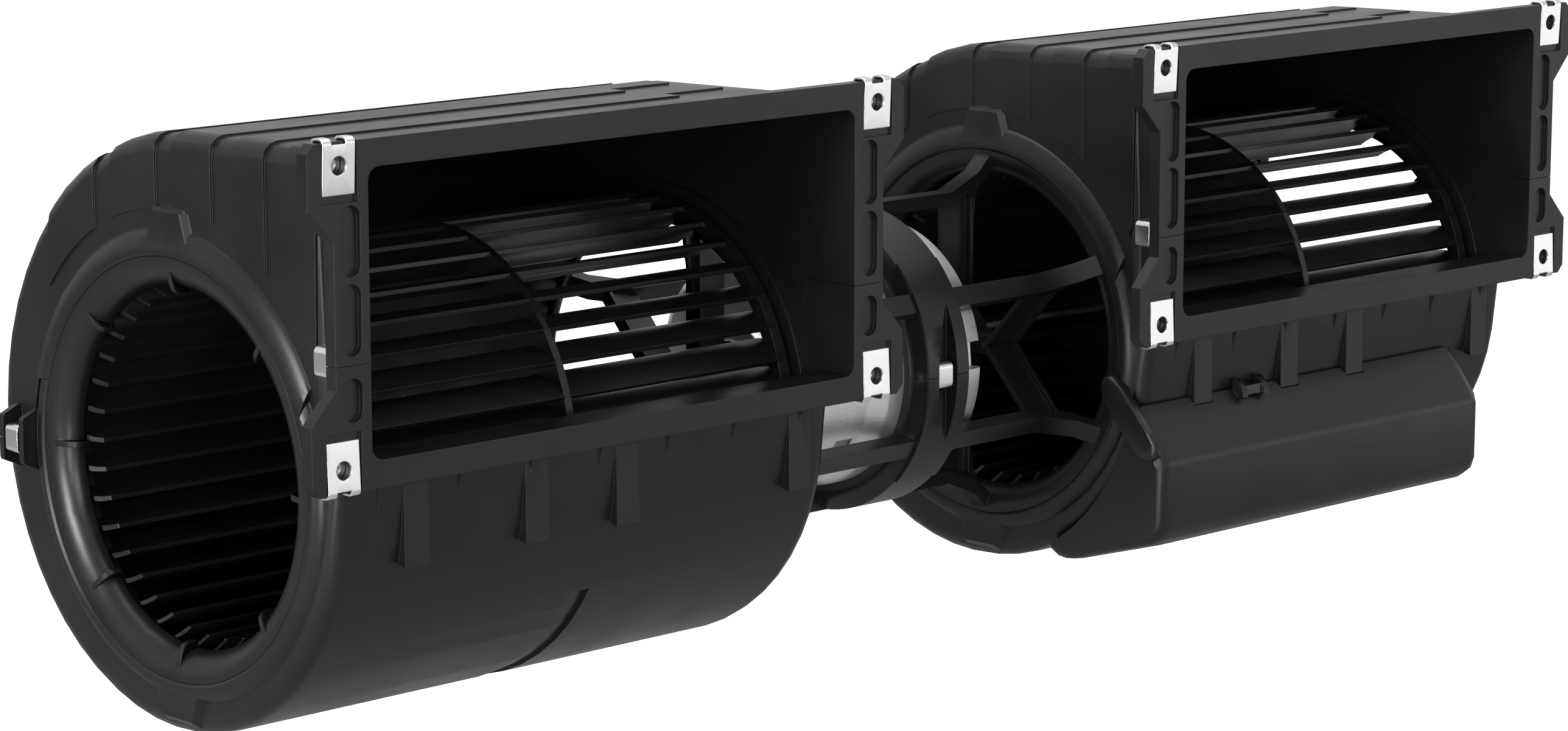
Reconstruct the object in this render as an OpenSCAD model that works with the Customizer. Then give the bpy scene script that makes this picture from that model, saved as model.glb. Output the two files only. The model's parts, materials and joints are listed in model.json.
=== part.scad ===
// Double inlet centrifugal blower: two scroll housings with outlet flanges side by side,
// a double-width wheel in each, and one motor between them that turns both on a common shaft.
// X runs along the shaft, the outlets face -Y and +Z is up. Zero is on the shaft axis,
// half way between the two blowers, while it is drawn. The whole blower is then moved so that
// the middle of its eight mounting holes, on the front face of the flanges, is at zero.

/* [Layout] */
// Distance between the middles of the two blowers
blower_pitch = 259; // [250:1:280]
// Distance from the shaft axis forward to the front face of the outlet flanges
flange_reach = 65; // [64:0.5:72]
// Height of the middle of the outlets above the shaft axis
outlet_rise = 42; // [41:0.5:43]

/* [Scroll housing] */
// Inside half width of the scroll
scroll_half = 71.5; // [69:0.5:76]
// Outside radius of the scroll at its tongue
tongue_r = 54.2; // [53.5:0.1:55]
// Outside radius of the scroll straight above the shaft
exit_r = 74.4; // [73.5:0.1:75.5]
// Thickness of the wall round the scroll
scroll_wall = 2.2; // [1.8:0.1:2.4]
// Thickness of the side walls
side_wall = 2.5; // [2:0.1:3]
// Rounding of the outside edges
edge_r = 4; // [3:0.5:5]
// Height of the raised bands over the upper shell
band_h = 0.5; // [0.3:0.1:1.2]
// Gap left between the upper and the lower shell
seam = 0.12; // [0.05:0.01:0.3]
// Height of the split beside the outlet flange
split_front_z = 32; // [30:0.5:34]
// Height of the split round the inlet collar
split_ring_z = 14.5; // [12:0.5:17]

/* [Outlet flange] */
// Height of the outlet opening
opening_h = 62; // [60:0.5:63]
// Rounding of the corners of the opening
opening_corner_r = 3; // [2:0.5:4]
// Thickness of the flange
flange_t = 3.3; // [3:0.1:4]
// Half height of the flange
flange_half_h = 37; // [36.6:0.2:39]
// Distance of the screw holes outside the air space
hole_out = 7.5; // [7:0.5:8]
// Width of a column beyond the screw holes
column_out = 1.8; // [1.4:0.1:2.4]
// Width of an ear beyond the screw holes
ear_out = 8.5; // [7.5:0.5:12]
// Half distance between the screw holes up and down
hole_dz = 32; // [31.5:0.5:32.5]
// Radius of the screw holes through the plastic
flange_hole_r = 3; // [2.8:0.1:3.2]

/* [Sheet nuts] */
// Width of a sheet nut
nut_w = 8.6; // [8:0.2:9.4]
// Length of its front leaf
nut_leaf = 11.5; // [11:0.1:12]
// Thickness of its spring sheet
nut_sheet = 0.7; // [0.5:0.1:0.8]
// Radius of the thread in its barrel
nut_thread_r = 1.6; // [1.5:0.1:1.8]

/* [Inlet rings] */
// Radius of the joint between a shell collar and an inlet ring
joint_r = 47.4; // [47:0.1:48]
// Radius of the inlet throat
throat_r = 40.6; // [39:0.1:41.5]
// Depth of the rounded mouth from the joint to the throat
bell_depth = 5.4; // [4.8:0.1:7]
// Height of the shell collar over the side wall
collar_h = 2; // [1.5:0.1:2.5]
// Thickness of an inlet ring
ring_t = 2; // [1.6:0.1:2.2]
// Number of small fins in an outer inlet mouth
fin_count = 8; // [6:1:12]

/* [Wheels] */
// Outside radius of a wheel
wheel_r = 47.5; // [46:0.25:48]
// Running gap between the end of a wheel and the inlet rings
wheel_gap = 1.3; // [1:0.1:8]
// Number of blades in each row
blade_count = 37; // [31:1:47]
// Thickness of a blade
blade_t = 1.1; // [0.9:0.1:1.4]
// Radial depth of the blade ring
blade_depth = 8.6; // [7:0.1:9.5]
// Angle by which a blade tip leads its root
blade_lead = 9; // [6:0.5:12]
// Thickness of the middle disc
disc_t = 2; // [1.5:0.1:3]
// Radius of the wheel hub
hub_r = 7; // [6:0.25:8]
// Half length of the wheel hub
hub_half = 9; // [8:0.5:11]

/* [Shaft and motor] */
// Radius of the shaft
shaft_r = 3; // [2.5:0.25:4]
// Running clearance of the shaft in its bearings
shaft_gap = 0.05; // [0.02:0.01:0.09]
// Outside radius of the motor housing
motor_r = 31; // [30:0.25:32]
// Left end of the motor housing, from the middle
motor_left = 35.5; // [34:0.5:36]
// Right end of the motor housing, from the middle
motor_right = 20.5; // [17:0.5:22]
// Thickness of the motor housing
motor_wall = 2.4; // [2:0.1:2.8]
// Number of wound teeth in the stator
tooth_count = 9; // [6:3:12]
// Number of rotor magnets
magnet_count = 6; // [4:2:8]
// Outside radius of the rotor over its magnets
rotor_r = 14; // [12:0.25:15]
// Air gap between the rotor and the stator
air_gap = 0.6; // [0.4:0.05:0.9]

/* [Motor carrier] */
// Outside radius of the carrier ring
carrier_r = 38; // [37.5:0.25:39]
// Left end of the carrier ring, from the middle
carrier_left = 7; // [6:0.5:9]
// Right end of the carrier ring, from the middle
carrier_right = 9; // [8:0.5:11]
// Thickness of the spokes of the carrier
spoke_t = 1.2; // [1:0.1:2]
// Thickness of the rubber ring round the motor
damper_t = 2.4; // [2:0.1:2.8]
// Width of a carrier bar
bar_w = 5; // [4:0.1:6]
// Radial depth of a carrier bar
bar_depth = 3.5; // [3:0.1:4.4]
// Angle of the front and rear bars above and below the split
bar_angle = 28.5; // [26:0.5:32]

/* [Electronics cover] */
// Thickness of the cover wall
cover_wall = 2; // [1.6:0.1:2.4]
// Front face of the cover, from the shaft axis
cover_reach = 64; // [62:0.5:64]
// How far the left end of the cover stands out from the side wall
cover_side = 3.5; // [3:0.1:5]
// Right end of the cover, from the middle of its blower
cover_right = 53.4; // [50:0.1:60]
// Gap between the cover and the scroll
cover_gap = 0.25; // [0.1:0.05:0.4]

/* [Hidden] */
$fn = 96;
far = 200;
plastic = [0.13, 0.13, 0.14];
zinc = [0.86, 0.87, 0.88];
blower_x = blower_pitch/2;

// Scroll outline, in the plane across the shaft
tongue_angle = 170;
scroll_sweep = 280;
scroll_step = 7;
scroll_power = 1.25;
side_out = scroll_half + side_wall;
opening_top = outlet_rise + opening_h/2;
opening_bottom = outlet_rise - opening_h/2;
flange_back = -flange_reach + flange_t;
hole_dx = scroll_half + hole_out;
column_half = hole_dx + column_out;
ear_half = hole_dx + ear_out;
neck_y = -tongue_r + 2.2;
neck_half = scroll_half + 1.8;
neck_top = opening_top + scroll_wall - 0.2;
tongue_tip_y = -tongue_r + 0.2;
split_front_y = flange_back + 11.7;
split_step_y = flange_back + 16.7;
split_rear_y = 49;
split_rear_end = 53;
lip_y = -tongue_r - 1.2;
lip_z = 2.5;
function scroll_r(turn) = tongue_r + (exit_r - tongue_r)*pow(turn/scroll_sweep, scroll_power);
function at_angle(r, angle) = [r*cos(angle), r*sin(angle)];
function scroll_points(inset, first) =
    [for (turn = [first:scroll_step:scroll_sweep]) at_angle(scroll_r(turn) - inset, tongue_angle + turn)];

// Inlet
joint_gap = 0.1;
joint_x = side_out + collar_h - 0.5;
throat_x = joint_x - bell_depth;
lip_end_x = throat_x - 0.4;
seat_r = joint_r + 2.6;
seat_t = 1.7;
wheel_half = scroll_half - seat_t - wheel_gap;
gap_half = blower_x - joint_x;

// Carrier
damper_r = motor_r + damper_t;
bar_in_r = carrier_r - bar_depth;
spider_x0 = motor_left + 2.8;
spider_x1 = spider_x0 + 9.9;
kink_x = spider_x0 + 1.7;
bush_r = 5;
bush_flange_r = 6.2;
spider_hub_r = 8;
bar_angles = [bar_angle, 90, 180 - bar_angle];

// Nuts
nut_gap = 0.15;
leaf_rest_t = flange_t - 0.8;

// Helpers
module along_x(from, to) translate([from, 0, 0]) rotate([90, 0, 90]) linear_extrude(to - from) children();
module along_y(from, to) translate([0, to, 0]) rotate([90, 0, 0]) linear_extrude(to - from) children();
module turned() rotate([0, 90, 0]) rotate_extrude() children();
module rod(r, from, to) translate([from, 0, 0]) rotate([0, 90, 0]) cylinder(r = r, h = to - from);
module tube(r_out, r_in, from, to) difference() {
    rod(r_out, from, to);
    rod(r_in, from - 1, to + 1);
}
module block(low, high) translate(low) cube(high - low);
module both_sides() {
    children();
    mirror([1, 0, 0]) children();
}
module round_x(count, start = 0) for (i = [0:count - 1]) rotate([start + i*360/count, 0, 0]) children();

// Outline of the scroll body without its neck, with a straight lip below the outlet
module body_outline() polygon(concat(
    scroll_points(0, 21),
    [[neck_y, neck_top + 0.6], [lip_y, lip_z]]));

// Air space: the spiral and the straight way out to the flange
module air_outline() polygon(concat(
    scroll_points(scroll_wall, 0),
    [[flange_back - 1, opening_top], [flange_back - 1, opening_bottom],
     [tongue_tip_y - 1.2, opening_bottom], [tongue_tip_y, opening_bottom - 0.4],
     [tongue_tip_y + 1, opening_bottom - 1.1]]));

// Body with rounded outside edges, grown by the given amount
module rounded_body(grow) hull() for (step = [0:3]) {
    inset = edge_r*(1 - sin(step*30));
    out = side_out + grow - edge_r*(1 - cos(step*30));
    along_x(-out, out) offset(delta = grow - inset) body_outline();
}

// Lower side of the stepped split between the shells
module below_split(drop) polygon([
    [-far, -far], [-far, split_front_z - drop], [split_front_y, split_front_z - drop],
    [split_step_y, split_ring_z - drop], [split_rear_y, split_ring_z - drop],
    [split_rear_end, -drop], [far, -drop], [far, -far]]);
module upper_part() difference() {
    children();
    along_x(-far, far) below_split(0);
}
module lower_part() intersection() {
    children();
    along_x(-far, far) below_split(seam);
}

// Flange front with its ears, drawn across the outlet
ear_h = 14;
ear_slope = 7;
module flange_outline() {
    top = outlet_rise + flange_half_h;
    bottom = outlet_rise - flange_half_h;
    polygon([
        [-ear_half + 2, top], [ear_half - 2, top], [ear_half, top - 2], [ear_half, top - ear_h],
        [column_half, top - ear_h - ear_slope], [column_half, bottom + ear_h + ear_slope + 1],
        [ear_half, bottom + ear_h + 1], [ear_half, bottom + 2], [ear_half - 2, bottom],
        [-ear_half + 2, bottom], [-ear_half, bottom + 2], [-ear_half, bottom + ear_h + 1],
        [-column_half, bottom + ear_h + ear_slope + 1], [-column_half, top - ear_h - ear_slope],
        [-ear_half, top - ear_h], [-ear_half, top - 2]]);
}

// Pill-shaped pockets in the flange columns
pocket_x = (column_half + scroll_half)/2 + 0.2;
pocket_half_w = 2.6;
pocket_ranges = [[50.5, 65.5], [33.8, 49], [19.8, 29.2]];
module flange_pockets() both_sides() for (range = pocket_ranges)
    translate([pocket_x, -flange_reach + 1.2, 0]) rotate([90, 0, 0]) linear_extrude(2) {
        for (z = [range[0] + pocket_half_w, range[1] - pocket_half_w]) translate([0, z]) circle(r = pocket_half_w);
        translate([-pocket_half_w, range[0] + pocket_half_w])
            square([2*pocket_half_w, range[1] - range[0] - 2*pocket_half_w]);
    }

// Shallow seat that each sheet nut is pushed into from the flange edge
module nut_seats() both_sides() for (up = [-1, 1]) {
    z0 = outlet_rise + up*(flange_half_h - nut_leaf - 1.4);
    z1 = outlet_rise + up*(flange_half_h + 1);
    block([hole_dx - nut_w/2 - 0.4, -flange_reach - 1, min(z0, z1)],
          [hole_dx + nut_w/2 + 0.4, -flange_reach + flange_t - leaf_rest_t, max(z0, z1)]);
}
module flange_holes() both_sides() for (up = [-1, 1])
    translate([hole_dx, 0, outlet_rise + up*hole_dz]) rotate([90, 0, 0])
        cylinder(r = flange_hole_r, h = flange_reach + 1, $fn = 48);

module flange() difference() {
    along_y(-flange_reach, flange_back) difference() {
        flange_outline();
        translate([0, outlet_rise]) offset(r = opening_corner_r, $fn = 48)
            square([2*(scroll_half - opening_corner_r), opening_h - 2*opening_corner_r], center = true);
    }
    flange_pockets();
    nut_seats();
    flange_holes();
}

// Neck between the body and the flange
module neck() block(
    [-neck_half, flange_back - 0.5, opening_bottom - scroll_wall],
    [neck_half, neck_y + 3, neck_top]);

// Raised collar round an inlet, turned about the shaft
module collar(width) turned() polygon([
    [joint_r + joint_gap, side_out - side_wall], [joint_r + joint_gap, joint_x],
    [joint_r + 0.7, side_out + collar_h], [joint_r + 2.2, side_out + collar_h],
    [joint_r + width*0.65, side_out + collar_h*0.75], [joint_r + width*0.88, side_out + collar_h*0.35],
    [joint_r + width, side_out - 0.2], [joint_r + width, side_out - side_wall]]);

// Sloped boss pad that crosses the collar
pad_slope = 1.6;
module collar_pad(lower) hull() {
    along_x(side_out - 1, side_out - 0.6) polygon([
        [-9.5, joint_r + 1], [9.5, joint_r + 1], [6, joint_r + lower + pad_slope], [-6, joint_r + lower + pad_slope]]);
    along_x(joint_x - 0.4, joint_x) polygon([
        [-8, joint_r + 1], [8, joint_r + 1], [5, joint_r + lower], [-5, joint_r + lower]]);
}

// Square front edge of a side wall, where it stops short of the flange
edge_y = neck_y + 1.5;
module wall_edge() block(
    [side_out - edge_r, edge_y, lip_z + edge_r], [side_out - 0.05, edge_y + 2*edge_r, neck_top - edge_r - 1]);

// Everything of one housing before it is split
module whole_housing() difference() {
    union() {
        rounded_body(0);
        neck();
        flange();
        both_sides() wall_edge();
    }
    along_x(-scroll_half, scroll_half) air_outline();
    rod(joint_r + joint_gap, -far, far);
}

// Raised bands that stiffen the upper shell
band_ranges = [[28, 45.5], [5, 21.5], [-15, -1.5], [-33.5, -22.5], [-50.5, -41]];
band_arc_r = joint_r + 10.5;
band_jog_x = 46;
band_jog = 5.5;
band_end_x = 65;
module bands() difference() {
    intersection() {
        rounded_body(band_h);
        for (i = [0:len(band_ranges) - 1]) {
            block([-far, band_ranges[i][0], split_ring_z], [band_jog_x, band_ranges[i][1], far]);
            block([band_jog_x - 1, band_ranges[i][0] + band_jog, split_ring_z], [band_end_x, band_ranges[i][1], far]);
        }
    }
    rounded_body(-0.6);
    rod(band_arc_r, -far, far);
}

// Lugs on the side wall that hold a shell clip, one behind and one in front of it
clip_w = 4.6;
clip_h = 6.8;
clip_t = 0.8;
clip_reach = 5.4;
clip_lug_t = 1.5;
clip_lug_gap = 0.8;
rear_clip_y = 55.2;
front_clip_y = flange_back + 3.6;
clip_rail_t = 1.2;
module clip_rails(y) block(
    [scroll_half + 0.5, y - clip_w/2, -clip_h/2 + clip_t + 0.1],
    [side_out + clip_reach - clip_t - 0.2, y + clip_w/2, clip_h/2 - clip_t - 0.1]);
lug_half = 5.6;
lug_root_half = 7.3;
module rear_lugs() for (y = [rear_clip_y - clip_w/2 - clip_lug_t - clip_lug_gap, rear_clip_y + clip_w/2 + clip_lug_gap])
    translate([0, y + clip_lug_t, 0]) rotate([90, 0, 0]) linear_extrude(clip_lug_t) polygon([
        [side_out - 1, -lug_root_half], [side_out + 0.6, -lug_root_half], [side_out + clip_reach - 1, -lug_half],
        [side_out + clip_reach - 0.3, -lug_half + 0.3], [side_out + clip_reach, -lug_half + 1],
        [side_out + clip_reach, lug_half - 1], [side_out + clip_reach - 0.3, lug_half - 0.3],
        [side_out + clip_reach - 1, lug_half], [side_out + 0.6, lug_root_half], [side_out - 1, lug_root_half]]);

module upper_shell() color(plastic) upper_part() {
    union() {
        whole_housing();
        bands();
        both_sides() {
            difference() {
                collar(6.5);
                block([0, -far, -far], [far, -flange_reach + flange_t, far]);
            }
            collar_pad(10);
            difference() {
                rear_lugs();
                clip_body(rear_clip_y, 0, 0.1);
            }
            clip_rails(rear_clip_y);
            translate([0, 0, split_front_z]) clip_rails(front_clip_y);
        }
    }
}

// Pads and pointed hooks below the flange of the lower shell
pad_lefts = [-55.3, -21, 5.9, 59.7];
pad_w = 6.8;
pad_low = -16.2;
hook_lefts = [-62.2, -39.8, -19.4, 1, 21.5, 42, 63.4];
hook_w = 2.6;
hook_low = -3.4;
hook_proud = 1.3;
neck_under = opening_bottom - scroll_wall + 0.7;
module front_pads() for (x = pad_lefts) along_x(x, x + pad_w) polygon([
    [lip_y + 5, lip_z - 0.3], [lip_y, lip_z - 0.3], [lip_y - 0.2, pad_low], [lip_y + 3, pad_low + 1],
    [lip_y + 5, pad_low + 1]]);
module front_hooks() for (x = hook_lefts) intersection() {
    along_x(x, x + hook_w) polygon([
        [lip_y + 3, neck_under], [lip_y - hook_proud, neck_under], [lip_y - hook_proud, lip_z + 2.5],
        [lip_y + 0.7, hook_low], [lip_y + 3, hook_low]]);
    along_y(-far, 0) polygon([
        [x, neck_under], [x + hook_w, neck_under], [x + hook_w, lip_z + 2.5],
        [x + 0.4, hook_low - 0.2], [x, hook_low - 0.2]]);
}

// Ramped recess moulded into the wall of the lower shell
ramp_x0 = -2;
ramp_x1 = 5.5;
ramp_depth = 1;
ramp_angles = [214.5, 252, 290];
module ramp_recess() difference() {
    along_x(ramp_x0, ramp_x1) polygon(concat([[0, 0]], [for (angle = ramp_angles) at_angle(far, angle)]));
    hull() {
        along_x(ramp_x0 - 0.2, ramp_x0) offset(delta = 0.05) body_outline();
        along_x(ramp_x1, ramp_x1 + 0.2) offset(delta = -ramp_depth) body_outline();
    }
}

module lower_shell() color(plastic) lower_part() {
    union() {
        difference() {
            whole_housing();
            ramp_recess();
        }
        front_pads();
        front_hooks();
        both_sides() {
            difference() {
                collar(4.6);
                block([0, -far, -far], [far, -flange_reach + flange_t, far]);
            }
            rotate([180, 0, 0]) collar_pad(8.5);
            difference() {
                rear_lugs();
                clip_body(rear_clip_y, 0, 0.1);
            }
            clip_rails(rear_clip_y);
            translate([0, 0, split_front_z]) clip_rails(front_clip_y);
        }
    }
}

// Spring clip that pinches the rails of both shells, open towards the side wall
module clip_body(y, z, slack) block(
    [side_out + 0.6 - slack, y - clip_w/2 - slack, z - clip_h/2 - slack],
    [side_out + clip_reach + slack, y + clip_w/2 + slack, z + clip_h/2 + slack]);
module shell_clip(y, z) difference() {
    clip_body(y, z, 0);
    block([0, y - far, z - clip_h/2 + clip_t], [side_out + clip_reach - clip_t, y + far, z + clip_h/2 - clip_t]);
}
module shell_clips() color(zinc) both_sides() {
    shell_clip(rear_clip_y, 0);
    shell_clip(front_clip_y, split_front_z);
}

// Bent sheet nut: two leaves over the flange edge and a threaded barrel on the back leaf
barrel_r = 2.9;
barrel_len = 4.2;
leaf_hole_r = 2;
nut_finger_w = 2.6;
module sheet_nut() {
    front = -flange_reach + flange_t - leaf_rest_t - nut_gap - nut_sheet;
    back = flange_back + nut_gap;
    edge = flange_half_h - hole_dz;
    difference() {
        union() {
            block([-nut_w/2, front, edge + nut_gap - nut_leaf], [nut_w/2, front + nut_sheet, edge + nut_gap + nut_sheet]);
            block([-nut_w/2, back, edge + nut_gap - nut_leaf + 1.5], [nut_w/2, back + nut_sheet, edge + nut_gap + nut_sheet]);
            for (x = [-nut_w/2, nut_w/2 - nut_finger_w])
                block([x, front, edge + nut_gap], [x + nut_finger_w, back + nut_sheet, edge + nut_gap + nut_sheet]);
            translate([0, back + barrel_len, 0]) rotate([90, 0, 0]) cylinder(r = barrel_r, h = barrel_len, $fn = 48);
        }
        translate([0, back + far, 0]) rotate([90, 0, 0]) cylinder(r = nut_thread_r, h = far + nut_sheet/2 + nut_gap + 0.2, $fn = 48);
        translate([0, front + nut_sheet + 0.1, 0]) rotate([90, 0, 0]) cylinder(r = leaf_hole_r, h = nut_sheet + 1, $fn = 48);
    }
}
module flange_nuts() color(zinc) for (side = [-1, 1]) for (up = [-1, 1])
    translate([side*hole_dx, 0, outlet_rise + up*hole_dz]) mirror([0, 0, up < 0 ? 1 : 0]) sheet_nut();

// Rounded mouth of an inlet, as a profile of radius and distance along the shaft
bell_steps = 8;
module bell_profile() {
    wide = joint_r - throat_r;
    outer = [for (i = [0:bell_steps]) [joint_r - wide*sin(i*90/bell_steps), throat_x + bell_depth*cos(i*90/bell_steps)]];
    inner = [for (i = [bell_steps:-1:2]) [joint_r - (wide - ring_t)*sin(i*90/bell_steps), throat_x + (bell_depth - ring_t)*cos(i*90/bell_steps)]];
    polygon(concat(
        outer,
        [[throat_r, lip_end_x], [throat_r + ring_t, lip_end_x]],
        inner,
        [[joint_r - ring_t, scroll_half - seat_t], [seat_r, scroll_half - seat_t],
         [seat_r, scroll_half - 0.05], [joint_r, scroll_half - 0.05]]));
}

// Small fins that stand across the mouth of an outer ring
fin_t = 1.3;
module mouth_fins() round_x(fin_count) translate([0, -fin_t/2, 0])
    rotate([90, 0, 0]) mirror([0, 0, 1]) linear_extrude(fin_t) polygon([
        [throat_x - 0.3, throat_r - 1.6], [throat_x + 1.8, throat_r - 1.5], [throat_x + 3.2, throat_r - 0.5],
        [joint_x - 1, throat_r + 2.2], [joint_x - 0.7, throat_r + 4.4], [throat_x + 2, throat_r + 2],
        [throat_x - 0.3, throat_r + 1]]);

module inlet_ring() color(plastic) {
    turned() bell_profile();
    mouth_fins();
}

// Wheel: two rows of forward-curved blades on a middle disc, with a rim at each end
blade_root_r = wheel_r - blade_depth;
blade_steps = 6;
rim_w = 3;
rim_depth = 3.4;
function blade_mid(s) = at_angle(blade_root_r + (blade_depth - 0.3)*s, blade_lead*pow(s, 1.7));
function unit(v) = v/norm(v);
function blade_side(s, side) =
    let (v = unit(blade_mid(min(1, s + 0.02)) - blade_mid(max(0, s - 0.02))))
    blade_mid(s) + side*blade_t/2*[-v[1], v[0]];
module blade_outline() polygon(concat(
    [for (i = [0:blade_steps]) blade_side(i/blade_steps, 1)],
    [for (i = [blade_steps:-1:0]) blade_side(i/blade_steps, -1)]));
module blade_row() difference() {
    along_x(disc_t/2 - 0.5, wheel_half) for (i = [0:blade_count - 1]) rotate(i*360/blade_count) blade_outline();
    turned() polygon([
        [blade_root_r - 2, wheel_half - 3], [blade_root_r + 0.2, wheel_half - 3],
        [blade_root_r + 2.6, wheel_half + 0.5], [blade_root_r - 2, wheel_half + 0.5]]);
}
module wheel() color(plastic) difference() {
    union() {
        rod(wheel_r, -disc_t/2, disc_t/2);
        both_sides() {
            blade_row();
            tube(wheel_r, wheel_r - rim_depth, wheel_half - rim_w, wheel_half);
        }
        rod(hub_r, -hub_half, hub_half);
    }
    rod(shaft_r + 0.03, -far, far);
}

// Spring ring over the hub end that pinches it onto the shaft
hub_clip_w = 3;
hub_clip_t = 1;
module hub_clip() color(zinc) difference() {
    tube(hub_r + hub_clip_t + 0.05, hub_r + 0.05, hub_half - hub_clip_w - 1, hub_half - 1);
    block([0, -1.6, 0], [far, 1.6, far]);
}

// Carrier ring with a lens-shaped pocket and a clip at the front and the rear
carrier_clip_h = 6.8;
carrier_clip_t = 2.6;
carrier_clip_x0 = -1.6;
carrier_clip_x1 = 3.4;
pocket_x0 = -1;
pocket_x1 = 4.4;
pocket_floor = carrier_r - 3.3;
band_t = 0.8;
module front_and_rear() for (side = [0, 180]) rotate([side, 0, 0]) children();
module lens_pocket() linear_extrude(far, center = true) polygon([
    [pocket_x1, -pocket_floor], [pocket_x0, -carrier_r],
    [2*pocket_x0 - pocket_x1, pocket_floor - 2*carrier_r], [2*pocket_x0 - pocket_x1, -far], [pocket_x1, -far]]);
module clip_rail() block(
    [carrier_clip_x0, -carrier_r + 0.1, -carrier_clip_h/2], [carrier_clip_x1, -damper_r - 0.8, carrier_clip_h/2]);
module clip_seat() difference() {
    block([carrier_clip_x0 - 0.2, -far, -carrier_clip_h/2 - 0.2],
          [carrier_clip_x1 + 0.2, -carrier_r + carrier_clip_t + 0.1, carrier_clip_h/2 + 0.2]);
    block([carrier_clip_x0 - 1, -carrier_r + clip_t + 0.1, -carrier_clip_h/2 + clip_t + 0.1],
          [carrier_clip_x1 + 1, far, carrier_clip_h/2 - clip_t - 0.1]);
}
module raised_sector() intersection() {
    tube(carrier_r + band_t, carrier_r - 1, -carrier_left + carrier_r*0.04, carrier_right - 0.6);
    along_x(-far, far) polygon([[0, 0], [-far, far], [-far, -far]]);
}
module carrier_ring() difference() {
    union() {
        difference() {
            union() {
                turned() polygon([
                    [damper_r, -carrier_left], [carrier_r - 2.9, -carrier_left], [carrier_r - 0.4, -carrier_left + 1.7],
                    [carrier_r, -carrier_left + 2], [carrier_r, carrier_right], [damper_r, carrier_right]]);
                raised_sector();
            }
            front_and_rear() lens_pocket();
        }
        front_and_rear() clip_rail();
    }
    front_and_rear() clip_seat();
}

// Bar that runs level from the ring and then bends out to the inner inlet mouth
bar_end_x = gap_half + 1;
bar_bend_x = kink_x + (bar_end_x - kink_x)*0.66;
bar_bend_r = carrier_r + 4.2;
bar_end_r = joint_r - 0.9;
module carrier_bar() translate([0, bar_w/2, 0]) rotate([90, 0, 0]) linear_extrude(bar_w) polygon([
    [carrier_left - 2.5, bar_in_r], [kink_x + 0.8, bar_in_r], [bar_bend_x + 1, bar_bend_r - bar_depth],
    [bar_end_x + 0.6, bar_end_r - bar_depth], [bar_end_x + 0.6, bar_end_r], [bar_end_x - 0.6, bar_end_r],
    [bar_bend_x, bar_bend_r], [kink_x, carrier_r], [carrier_left - 2.5, carrier_r]]);

// Upright spoke with a gusset under its bar and a lip along its outer edge
spoke_lip_t = 1.1;
module upright_spoke() {
    translate([0, spoke_t/2, 0]) rotate([90, 0, 0]) linear_extrude(spoke_t) polygon([
        [spider_x0, spider_hub_r - 1], [spider_x0, bar_in_r + 1], [kink_x, bar_in_r + 1],
        [bar_end_x, bar_end_r - 1.5], [bar_end_x + 0.5, joint_r - 4.4], [gap_half - 0.3, joint_r - 7.2],
        [spider_x1 + 2.9, joint_r - 11.7], [spider_x1 + 2.5, bar_in_r - 2.2], [spider_x1, bar_in_r/2 + 2],
        [spider_x1, spider_hub_r - 1]]);
    block([spider_x1 - spoke_lip_t, -bar_w/2, spider_hub_r - 1], [spider_x1, bar_w/2, bar_in_r + 1.5]);
}

// Forked spoke at the front or the rear, with the arm that joins its tip to the hub
fork_y = 16;
fork_lip = 1.2;
arm_half_h = 2.5;
fork_end = [-(bar_in_r + 1.5)*cos(bar_angle), (bar_in_r + 1.5)*sin(bar_angle)];
fork_run = norm([fork_end[0] + fork_y, fork_end[1]]);
fork_angle = atan2(fork_end[1], -fork_end[0] - fork_y);
module forked_spoke() {
    for (side = [-1, 1]) translate([0, -fork_y, 0]) rotate([-side*fork_angle, 0, 0]) {
        block([spider_x0, -fork_run, -spoke_t/2], [spider_x1, 0.4, spoke_t/2]);
        block([spider_x1 - spoke_lip_t, -fork_run, -spoke_t/2 - fork_lip], [spider_x1, 0.4, spoke_t/2 + fork_lip]);
    }
    block([spider_x0 + 2.7, -fork_y - 0.6, -arm_half_h], [spider_x1 - 0.7, -spider_hub_r + 1, arm_half_h]);
}
module inner_mouth() difference() {
    translate([blower_x, 0, 0]) mirror([1, 0, 0]) turned() bell_profile();
    rod(1, 0, far);
}
module carrier_half_shell() color(plastic) intersection() {
    union() {
        carrier_ring();
        both_sides() {
            inner_mouth();
            for (angle = bar_angles) rotate([90 - angle, 0, 0]) carrier_bar();
            upright_spoke();
            front_and_rear() forked_spoke();
            tube(spider_hub_r, bush_r + 0.03, spider_x0, spider_x1);
        }
    }
    block([-far, -far, seam/2], [far, far, far]);
}
module carrier_lower() mirror([0, 0, 1]) carrier_half_shell();

// Clips over the rails of the carrier halves
module carrier_clips() color(zinc) front_and_rear() difference() {
    block([carrier_clip_x0, -carrier_r - 0.2, -carrier_clip_h/2],
          [carrier_clip_x1, -carrier_r + carrier_clip_t, carrier_clip_h/2]);
    block([-far, -carrier_r + clip_t, -carrier_clip_h/2 + clip_t], [far, far, carrier_clip_h/2 - clip_t]);
}

// Bush in the hub of a spider
module shaft_bush() color([0.75, 0.74, 0.7]) difference() {
    union() {
        rod(bush_r, spider_x0 - 0.5, spider_x1 + 0.5);
        rod(bush_flange_r, spider_x1 + 0.1, spider_x1 + 1.3);
    }
    rod(shaft_r + shaft_gap, 0, far);
}

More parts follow.
